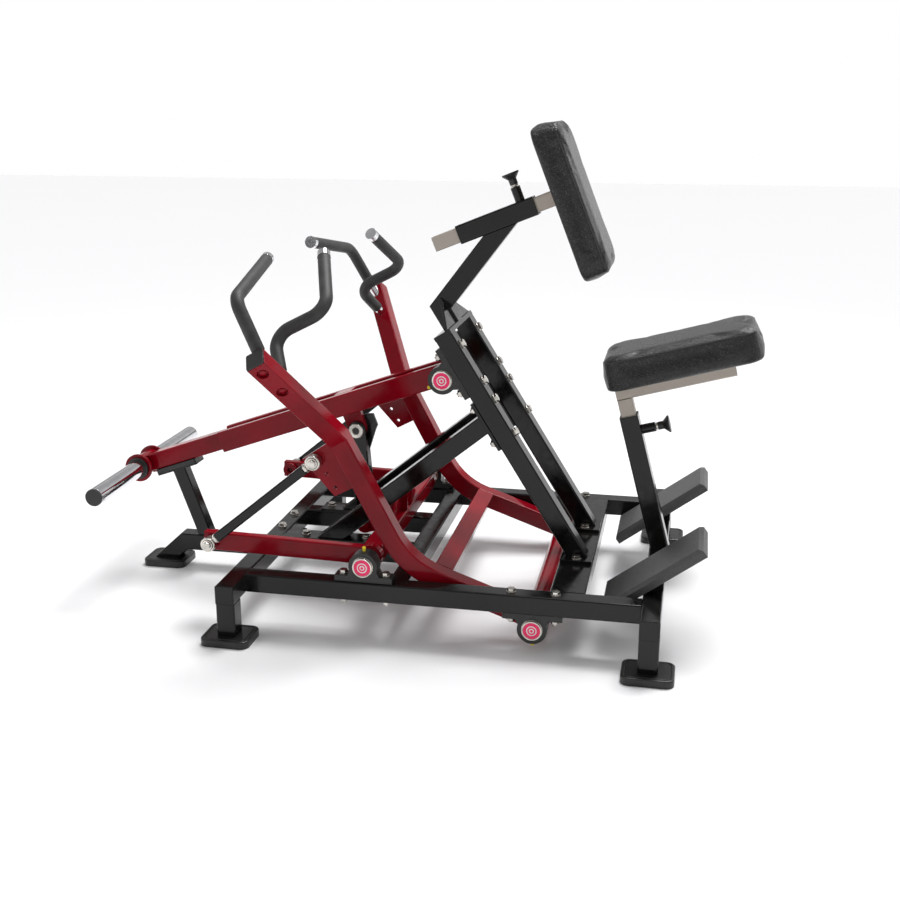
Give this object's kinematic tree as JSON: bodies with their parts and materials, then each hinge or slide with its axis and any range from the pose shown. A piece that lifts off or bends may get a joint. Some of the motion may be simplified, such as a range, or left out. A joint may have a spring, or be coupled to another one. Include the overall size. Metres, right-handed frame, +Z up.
{
  "type": "plate-loaded chest-supported row machine",
  "caption": "Seated row machine with a chest pad, two foam-gripped pull arms, a rocker linkage and a rear weight arm with horns for plates.",
  "frame": {"origin": "on the floor, under the middle of the machine's bounding box", "axes": "+X from the weight horns to the seat, +Y from the user's left to right, +Z up"},
  "size_m": [1.795, 1.1588, 1.3006],
  "materials": {
    "black_paint": "glossy powder coat",
    "red_paint": "candy red powder coat",
    "champagne_paint": "satin champagne silver",
    "zinc_steel": "zinc plated",
    "chrome": "polished",
    "rubber": "moulded",
    "black_plastic": "moulded",
    "pink_cap": "gloss",
    "yellow_cap": "gloss",
    "foot_plate_coat": "fine grain",
    "foam": "closed cell foam",
    "vinyl": "grained vinyl over foam"
  },
  "bodies": {
    "frame": {"rear_cross_member": "black_paint", "middle_cross_member": "black_paint", "wide_cross_member": "black_paint", "front_cross_member": "black_paint", "left_side_rail": "black_paint", "right_side_rail": "black_paint", "corner_legs": "black_paint", "rubber_feet": "rubber", "stringers": "black_paint", "rear_stand_beam": "black_paint", "rear_stand_post": "black_paint", "stand_rest_pad": "rubber", "uprights": "black_paint", "braces": "black_paint", "mounting_plates": "black_paint", "head_plate": "black_paint", "chest_post": "black_paint", "chest_sleeve": "black_paint", "seat_post": "black_paint", "foot_plates": "foot_plate_coat", "foot_plate_brackets": "black_paint", "bearing_housings": "black_paint", "bearing_inserts": "zinc_steel", "bearing_caps": "pink_cap", "grease_nipples": "yellow_cap", "frame_bolts": "zinc_steel", "frame_end_caps": "black_plastic", "pull_pin_barrels": "black_paint"},
    "arms": {"left_arm": "red_paint", "right_arm": "red_paint", "arm_cross_tube": "red_paint", "arm_pivot_tube": "red_paint", "arm_axle": "zinc_steel", "arm_gussets": "red_paint", "arm_end_caps": "black_plastic", "grip_bars": "zinc_steel", "grip_foams": "foam", "grip_end_caps": "chrome"},
    "rocker": {"rocker_levers": "red_paint", "rocker_tube": "red_paint", "rocker_lugs": "red_paint", "rocker_axle": "zinc_steel"},
    "rods": {"side_rods": "black_paint", "rod_ends": "zinc_steel"},
    "link": {"centre_link": "black_paint", "centre_link_pins": "zinc_steel"},
    "weight_arm": {"weight_beams": "red_paint", "weight_nose_beam": "red_paint", "weight_lug": "red_paint", "weight_hub": "red_paint", "weight_horns": "chrome", "horn_bumpers": "rubber", "horn_end_caps": "black_plastic", "weight_axle": "zinc_steel"},
    "seat": {"seat_frame": "champagne_paint", "seat_pad": "vinyl"},
    "seat_pin": {"seat_pull_pin": "black_plastic"},
    "chest_support": {"chest_slide": "champagne_paint", "chest_pad": "vinyl"},
    "chest_pin": {"chest_pull_pin": "black_plastic"}
  },
  "joints": [
    {"name": "arm_swing", "type": "hinge", "parent": "frame", "child": "arms", "pos_m": [0.35865, 0, 0.066], "axis": [0, 1, 0], "range_deg": [0, 22]},
    {"name": "rocker_swing", "type": "hinge", "parent": "frame", "child": "rocker", "pos_m": [-0.07835, 0, 0.2], "axis": [0, 1, 0], "range_deg": [0, 43.08]},
    {"name": "weight_arm_swing", "type": "hinge", "parent": "frame", "child": "weight_arm", "pos_m": [0.07167, 0, 0.63249], "axis": [0, 1, 0], "range_deg": [0, 13.69]},
    {"name": "rod_swing", "type": "hinge", "parent": "arms", "child": "rods", "pos_m": [-0.21869, 0, 0.4552], "axis": [0, 1, 0], "range_deg": [-3.34, 0]},
    {"name": "link_swing", "type": "hinge", "parent": "weight_arm", "child": "link", "pos_m": [-0.20038, 0, 0.44764], "axis": [0, 1, 0], "range_deg": [-22.84, 0]},
    {"name": "seat_height", "type": "slide", "parent": "frame", "child": "seat", "axis": [-0.2605, 0, 0.9655], "range_m": [-0.03, 0.09]},
    {"name": "seat_pin_pull", "type": "slide", "parent": "frame", "child": "seat_pin", "axis": [0.9655, 0, 0.2605], "range_m": [0, 0.01], "stiffness_N_per_m": 800, "springref_m": -0.005},
    {"name": "chest_reach", "type": "slide", "parent": "frame", "child": "chest_support", "axis": [0.9285, 0, 0.3714], "range_m": [-0.04, 0.05]},
    {"name": "chest_pin_pull", "type": "slide", "parent": "frame", "child": "chest_pin", "axis": [-0.3714, 0, 0.9285], "range_m": [0, 0.01], "stiffness_N_per_m": 800, "springref_m": -0.005}
  ],
  "couplings": [
    {"joint": "rocker_swing", "follows": "arm_swing", "ratio": 1.9577},
    {"joint": "weight_arm_swing", "follows": "arm_swing", "ratio": 0.62177},
    {"joint": "rod_swing", "follows": "arm_swing", "ratio": -0.15153},
    {"joint": "link_swing", "follows": "arm_swing", "ratio": -1.0377}
  ]
}
